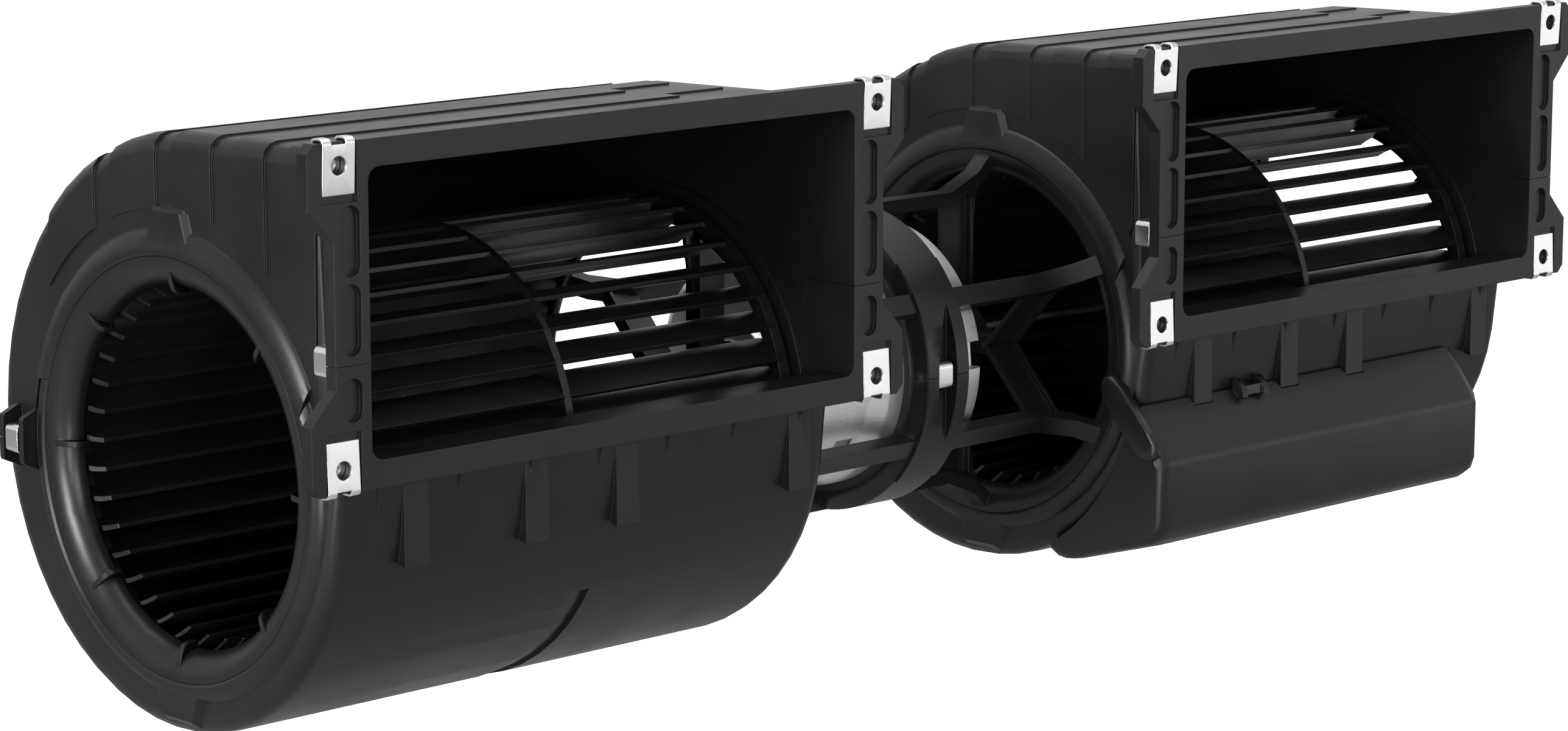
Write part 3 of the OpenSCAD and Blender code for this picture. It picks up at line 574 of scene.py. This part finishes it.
@cache
def weld_group(angle: float) -> bpy.types.NodeTree:
    """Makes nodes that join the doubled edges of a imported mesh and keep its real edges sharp.

    Args:
        angle: Edges sharper than this, in degrees, stay sharp.

    Returns:
        The node group.
    """
    tree = bpy.data.node_groups.new(f"weld and smooth {angle:g}", "GeometryNodeTree")
    for way in ("INPUT", "OUTPUT"):
        tree.interface.new_socket("Geometry", in_out=way, socket_type="NodeSocketGeometry")
    weld = tree.nodes.new("GeometryNodeMergeByDistance")
    set_inputs(weld, {"Distance": 2 * SAME_POINT})
    bend = tree.nodes.new("GeometryNodeInputMeshEdgeAngle")
    limit = tree.nodes.new("FunctionNodeCompare")
    limit.data_type, limit.operation = "FLOAT", "GREATER_THAN"
    limit.inputs[1].default_value = math.radians(angle)
    tree.links.new(bend.outputs["Unsigned Angle"], limit.inputs[0])
    tree.links.new(tree.nodes.new("NodeGroupInput").outputs[0], weld.inputs[0])
    last = weld.outputs[0]
    for domain, curved in (("FACE", True), ("EDGE", True), ("EDGE", False)):
        shade = set_inputs(
            tree.nodes.new("GeometryNodeSetShadeSmooth"), {"Shade Smooth": curved})
        shade.domain = domain
        if not curved:
            tree.links.new(limit.outputs[0], shade.inputs["Selection"])
        tree.links.new(last, shade.inputs[0])
        last = shade.outputs[0]
    tree.links.new(last, tree.nodes.new("NodeGroupOutput").inputs[0])
    return tree


def soften(item: bpy.types.Object, angle: float) -> None:
    """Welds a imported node's mesh by modifiers, shades its curves smooth and its flats flat.

    Args:
        item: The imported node's object.
        angle: Edges sharper than this, in degrees, stay sharp.
    """
    item.modifiers.new("weld", "NODES").node_group = weld_group(angle)
    shade_flats(item)


def add_object(mesh: bmesh.types.BMesh, name: str) -> bpy.types.Object:
    """Turns a mesh in the making into an object of the scene.

    Args:
        mesh: The mesh in the making, which is used up.
        name: The object's name.

    Returns:
        The new object.
    """
    data = bpy.data.meshes.new(name)
    mesh.to_mesh(data)
    mesh.free()
    item = bpy.data.objects.new(name, data)
    bpy.context.scene.collection.objects.link(item)
    return item


def add_piece(mesh: bmesh.types.BMesh, name: str, slot: str, *nodes: str) -> bpy.types.Object:
    """Turns a mesh in the making into a piece of the fixed frame.

    Args:
        mesh: The mesh in the making.
        name: The piece's name.
        slot: The material slot whose finish it gets.
        nodes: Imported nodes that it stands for.

    Returns:
        The new object.
    """
    bmesh.ops.remove_doubles(mesh, verts=mesh.verts, dist=SAME_POINT)
    bmesh.ops.recalc_face_normals(mesh, faces=mesh.faces)
    item = add_object(mesh, name)
    item.data.materials.append(finish_of(slot))
    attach(item, "frame")
    if nodes:
        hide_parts(*nodes)
    shade_curves(item, PIECE_ANGLE)
    return item


def arc(middle: Pair, radius: float, start: float, end: float, steps: int = 6) -> list[Pair]:
    """Points on an arc.

    Args:
        middle: Its centre.
        radius: Its radius.
        start: First angle in degrees.
        end: Last angle in degrees.
        steps: Number of steps between them.

    Returns:
        The points from start to end.
    """
    turns = [math.radians(start + (end - start) * i / steps) for i in range(steps + 1)]
    return [(middle[0] + radius * math.cos(t), middle[1] + radius * math.sin(t)) for t in turns]


def grid(mesh: bmesh.types.BMesh, rows: list[list[Vector]]) -> None:
    """Adds a net of quads through rows of points.

    Args:
        mesh: The mesh in the making.
        rows: Rows of points, all of the same length.
    """
    made = [[mesh.verts.new(point) for point in row] for row in rows]
    for one, two in zip(made, made[1:]):
        for i in range(len(one) - 1):
            mesh.faces.new((one[i], one[i + 1], two[i + 1], two[i]))


@dataclass
class SheetPart:
    """Pieces bent from spring sheet, one in the place of each solid of a node."""

    node: str
    sheet: float = 0.0006
    edge: float = 0.00012
    edge_steps: int = 2
    edge_angle: float = 50.0

    def shape(self, mesh: bmesh.types.BMesh, box: Box) -> None:
        """Adds the middle surface of one piece; each kind of piece has its own.

        Args:
            mesh: The mesh in the making.
            box: The solid in whose place it goes.
        """
        raise NotImplementedError

    def build(self) -> bpy.types.Object:
        """Builds all the pieces of the node as one mesh.

        Returns:
            The new object.
        """
        mesh = bmesh.new()
        for box in solids(frame["nodes"][self.node]):
            self.shape(mesh, box)
        item = add_piece(mesh, self.node + "_bent", "zinc", self.node)
        solid = item.modifiers.new("sheet", "SOLIDIFY")
        solid.thickness, solid.offset = self.sheet, 0.0
        soft = item.modifiers.new("edges", "BEVEL")
        soft.width, soft.segments = self.edge, self.edge_steps
        soft.angle_limit = math.radians(self.edge_angle)
        soft.harden_normals = False
        shade_flats(item)
        return item


@dataclass
class SpringClips(SheetPart):
    """U-shaped clips that pinch the rails of two shells, open to the middle of their node."""

    reach_axis: int = 0
    sheet: float = 0.0008
    bend: float = 0.0011

    def shape(self, mesh: bmesh.types.BMesh, box: Box) -> None:
        """Adds one clip.

        Args:
            mesh: The mesh in the making.
            box: The solid in whose place it goes.
        """
        reach, width = self.reach_axis, 1 - self.reach_axis
        whole = Box(*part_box(self.node))
        outward = 1.0 if box.middle[reach] > whole.middle[reach] else -1.0
        half = (box.high.z - box.low.z - self.sheet) / 2
        length = box.high[reach] - box.low[reach] - self.sheet / 2
        corner = (length - self.bend, half - self.bend)
        path = [(0.0, half), *arc(corner, self.bend, 90, 0)]
        path += [(u, -v) for u, v in reversed(path)]
        start = box.low[reach] if outward > 0 else box.high[reach]
        rows = []
        for side in (box.low[width], box.high[width]):
            row = []
            for u, v in path:
                point = Vector((0.0, 0.0, box.middle.z + v))
                point[reach], point[width] = start + outward * u, side
                row.append(point)
            rows.append(row)
        grid(mesh, rows)


@dataclass(frozen=True)
class Ray:
    """A line from a leaf's hole to the leaf's outline: its direction and its outer end."""

    across: float
    rise: float
    x: float
    height: float


@dataclass
class SheetNuts(SheetPart):
    """Sheet nuts: a leaf with a hole, two fingers curled over the flange edge and a back leaf."""

    leaf: float = 0.0117
    back_short: float = 0.0015
    hole_height: float = 0.032
    hole_radius: float = 0.002
    bore: float = 0.0016
    barrel_radius: float = 0.0026
    barrel_sides: int = 48
    barrel_steps: int = 60
    finger: float = 0.0024
    bend: float = 0.0009
    notch: float = 0.0011
    tilt: float = 0.00045
    clearance: float = 0.00001
    back_place: float = 0.00375
    thread_pitch: float = 0.0007
    thread_depth: float = 0.0002
    ray_count: int = 48
    first_ray: float = -176.0
    tolerance: float = 1e-7

    def rays(self, half: float, low: float, high: float) -> list[Ray]:
        """Draws lines from the hole to the leaf's outline, one of them to each corner.

        Args:
            half: Half width of the leaf.
            low: Height of its free end.
            high: Height where the fingers begin.

        Returns:
            The lines, in order round the hole.
        """
        corners = [(x, h) for x in (-half, half) for h in (low, high)]
        corners += [(x, high) for x in (self.finger - half, half - self.finger)]
        turns = {math.atan2(h - self.hole_height, x) for x, h in corners}
        step = 360.0 / self.ray_count
        turns |= {math.radians(step * i + self.first_ray) for i in range(self.ray_count)}
        found = []
        for turn in sorted(turns):
            across, rise = math.cos(turn), math.sin(turn)
            limit = (high if rise > 0 else low) - self.hole_height
            far = min(
                half / abs(across) if across else math.inf, limit / rise if rise else math.inf)
            found.append(Ray(across, rise, across * far, self.hole_height + rise * far))
        return found

    def add_leaf(
        self, mesh: bmesh.types.BMesh, rays: list[Ray], radius: float,
        spot: Callable[[float, float], Vector],
    ) -> None:
        """Adds one leaf with its hole.

        Args:
            mesh: The mesh in the making.
            rays: Lines from the hole to the outline.
            radius: Radius of the hole.
            spot: Gives the point of the leaf at a distance across and a height.
        """
        hole, rim = [], []
        for ray in rays + rays[:1]:
            hole.append(spot(radius * ray.across, self.hole_height + radius * ray.rise))
            rim.append(spot(ray.x, ray.height))
        grid(mesh, [hole, rim])

    def shape(self, mesh: bmesh.types.BMesh, box: Box) -> None:
        """Adds the leaves and fingers of one nut.

        Args:
            mesh: The mesh in the making.
            box: The solid in whose place it goes.
        """
        up = math.copysign(1.0, box.middle.z)
        middle, half = box.middle.x, (box.high.x - box.low.x) / 2
        top = max(abs(box.low.z), abs(box.high.z)) - self.sheet / 2
        front = box.low.y + self.sheet / 2 + self.clearance
        back = self.back_place
        base, low = top - self.notch, top - self.leaf

        def front_spot(x: float, height: float) -> Vector:
            """Gives a point of the leaning front leaf."""
            lean = self.tilt * (base - height) / (base - low)
            return Vector((middle + x, front + lean, up * height))

        def back_spot(x: float, height: float) -> Vector:
            """Gives a point of the upright back leaf."""
            return Vector((middle + x, back, up * height))

        front_rays = self.rays(half, low, base)
        self.add_leaf(mesh, front_rays, self.hole_radius, front_spot)
        back_rays = self.rays(half, low + self.back_short, base)
        self.add_leaf(mesh, back_rays, self.bore, back_spot)
        path = [(front, base), *arc((front + self.bend, top - self.bend), self.bend, 180, 90)]
        path += [*arc((back - self.bend, top - self.bend), self.bend, 90, 0), (back, base)]
        edge = sorted(ray.x for ray in front_rays if abs(ray.height - base) < self.tolerance)
        for side in (-1, 1):
            finger = [x for x in edge if side * x > half - self.finger - self.tolerance]
            grid(mesh, [
                [Vector((middle + x, y, up * height)) for x in finger] for y, height in path])

    def barrels(self) -> bpy.types.Object:
        """Builds the threaded barrels of the node's nuts.

        Returns:
            The new object.
        """
        mesh = bmesh.new()
        for box in solids(frame["nodes"][self.node]):
            up = math.copysign(1.0, box.middle.z)
            start, end = self.back_place - self.sheet / 2, box.high.y
            steps = [i / self.barrel_steps for i in range(self.barrel_steps + 1)]
            profile = [(start + (end - start) * share, True) for share in steps]
            profile += [(end, False), (start, False)]
            rows = []
            for y, threaded in profile:
                row = []
                for i in range(self.barrel_sides + 1):
                    share = i / self.barrel_sides
                    radius = self.barrel_radius
                    if threaded:
                        phase = ((y - start) / self.thread_pitch + share) % 1.0
                        radius = self.bore + self.thread_depth * abs(2 * phase - 1)
                    turn = share * math.tau
                    row.append(Vector((
                        box.middle.x + radius * math.cos(turn), y,
                        up * self.hole_height + radius * math.sin(turn))))
                rows.append(row)
            grid(mesh, rows)
        item = add_piece(mesh, self.node + "_barrels", "zinc", self.node)
        shade_flats(item)
        return item


@dataclass(frozen=True)
class MotorShell:
    """Cast shell of the motor, in millimetres.

    It is a plain drum with a sloped band and three screw pockets at its left end. The outline
    gives places along the shaft and distances from it, round the wall from the bearing's seat.
    """

    outline: tuple[Pair, ...] = (
        (-35.5, 8.55), (-35.5, 13.0), (-34.9, 13.6), (-33.2, 13.9), (-33.0, 15.0),
        (-33.0, 26.0), (-32.6, 27.4), (-31.6, 28.5), (-30.0, 29.0), (-17.2, 29.2),
        (-16.6, 29.5), (-11.4, 30.7), (-10.8, 31.0), (10.5, 31.0), (10.5, 28.65),
        (-30.0, 28.65), (-30.0, 8.55))
    sides: int = 96
    pocket_angles: tuple[float, ...] = (-35.0, 85.0, 205.0)
    pocket_place: float = 29.0
    pocket_radius: float = 2.3
    pocket_ends: Pair = (-24.0, -18.4)
    pocket_sides: int = 32
    smooth_angle: float = 35.0

    def point(self, x: float, radius: float, turn: float) -> Vector:
        """A point beside the shaft.

        Args:
            x: Place along the shaft in millimetres.
            radius: Distance from the shaft in millimetres.
            turn: Angle in radians from the front, rising.

        Returns:
            The point in metres.
        """
        return Vector((
            x / MM_PER_M, SHAFT_Y - radius * math.cos(turn) / MM_PER_M,
            SHAFT_Z + radius * math.sin(turn) / MM_PER_M))

    def pocket_cutter(self) -> bpy.types.Object:
        """Makes the cylinders that the pockets are cut with.

        Returns:
            The cylinders as one object, to be removed after the cut.
        """
        mesh = bmesh.new()
        turns = [math.tau * i / self.pocket_sides for i in range(self.pocket_sides)]
        for angle in self.pocket_angles:
            middle = self.point(0.0, self.pocket_place, math.radians(angle))
            left, right = [
                [mesh.verts.new((
                    x / MM_PER_M,
                    middle.y + self.pocket_radius * math.cos(turn) / MM_PER_M,
                    middle.z + self.pocket_radius * math.sin(turn) / MM_PER_M))
                    for turn in turns]
                for x in self.pocket_ends]
            for i in range(self.pocket_sides):
                mesh.faces.new((left[i - 1], left[i], right[i], right[i - 1]))
            mesh.faces.new(left)
            mesh.faces.new(reversed(right))
        bmesh.ops.recalc_face_normals(mesh, faces=mesh.faces)
        return add_object(mesh, "pocket_cutter")

    def build(self) -> bpy.types.Object:
        """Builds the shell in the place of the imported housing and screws.

        Returns:
            The new object.
        """
        mesh = bmesh.new()
        closed = self.outline + self.outline[:1]
        turns = [math.tau * i / self.sides for i in range(self.sides + 1)]
        grid(mesh, [[self.point(x, r, turn) for x, r in closed] for turn in turns])
        item = add_piece(mesh, "motor_shell", "housing_metal", "motor_housing", "motor_screws")
        cutter = self.pocket_cutter()
        cut = item.modifiers.new("pockets", "BOOLEAN")
        cut.operation, cut.object = "DIFFERENCE", cutter
        whole = item.evaluated_get(bpy.context.evaluated_depsgraph_get())
        item.data = bpy.data.meshes.new_from_object(whole)
        item.modifiers.remove(cut)
        bpy.data.objects.remove(cutter)
        shade_curves(item, self.smooth_angle)
        shade_flats(item)
        return item


class Side(Enum):
    """The two blowers, by the sign of their place along the shaft."""

    LEFT = -1
    RIGHT = 1

    @property
    def word(self) -> str:
        """The word that the names of its pieces begin with."""
        return self.name.lower()


@dataclass(frozen=True)
class MouthFins:
    """Thin webs across the rounded mouth of an outer inlet ring, in millimetres.

    The outline gives distances from the middle of the blower and from the shaft.
    """

    side: Side
    half_thick: float = 0.65
    count: int = 8
    outline: tuple[Pair, ...] = (
        (75.2, 46.6), (74.9, 43.6), (74.3, 41.0), (73.6, 39.6), (72.6, 38.9), (71.2, 38.7),
        (69.9, 38.9), (69.9, 41.2), (72.2, 43.2), (74.0, 45.4))

    def build(self) -> bpy.types.Object:
        """Builds the webs of one ring.

        Returns:
            The new object.
        """
        mesh = bmesh.new()
        for i in range(self.count):
            turn = math.tau * i / self.count
            out = Vector((0.0, -math.cos(turn), math.sin(turn)))
            across = Vector((0.0, math.sin(turn), math.cos(turn)))
            one, two = [
                [mesh.verts.new(
                    Vector((self.side.value * (BLOWER_X + x / MM_PER_M), SHAFT_Y, SHAFT_Z))
                    + out * (r / MM_PER_M) + across * shift)
                    for x, r in self.outline]
                for shift in (-self.half_thick / MM_PER_M, self.half_thick / MM_PER_M)]
            mesh.faces.new(one)
            mesh.faces.new(reversed(two))
            for j in range(len(self.outline)):
                mesh.faces.new((one[j - 1], one[j], two[j], two[j - 1]))
        item = add_piece(mesh, self.side.word + "_mouth_fins", "black_plastic")
        shade_flats(item)
        return item


@dataclass
class Blower:
    """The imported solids, their finishes and the pieces made for the picture."""

    smooth_angle: float = 35.0
    cover_angle: float = 47.0

    def dress(self) -> None:
        """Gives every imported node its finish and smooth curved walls."""
        slots = {row["node"]: row["material_slot"] for row in frame["record"]["subparts"]}
        for name, item in frame["nodes"].items():
            item.data.materials.clear()
            item.data.materials.append(finish_of(slots[name]))
            is_cover = name == "electronics_cover"
            soften(item, self.cover_angle if is_cover else self.smooth_angle)
            log.info("dressed %s as %s", name, slots[name])

    def bend_sheet(self) -> None:
        """Builds the sheet nuts and the spring clips."""
        for side in Side:
            nuts = SheetNuts(side.word + "_flange_nuts")
            nuts.build()
            nuts.barrels()
            SpringClips(side.word + "_shell_clips").build()
        SpringClips("carrier_clips", reach_axis=1).build()

    def cast_and_mould(self) -> None:
        """Builds the motor's shell and the fins of the outer mouths."""
        MotorShell().build()
        for side in Side:
            MouthFins(side).build()


def main() -> None:
    """Dresses the blower and sets up the studio."""
    logging.basicConfig(level=logging.INFO)
    blower = Blower()
    blower.dress()
    blower.bend_sheet()
    blower.cast_and_mould()
    Studio().build()
    log.info("done")


if __name__ == "__main__":
    main()
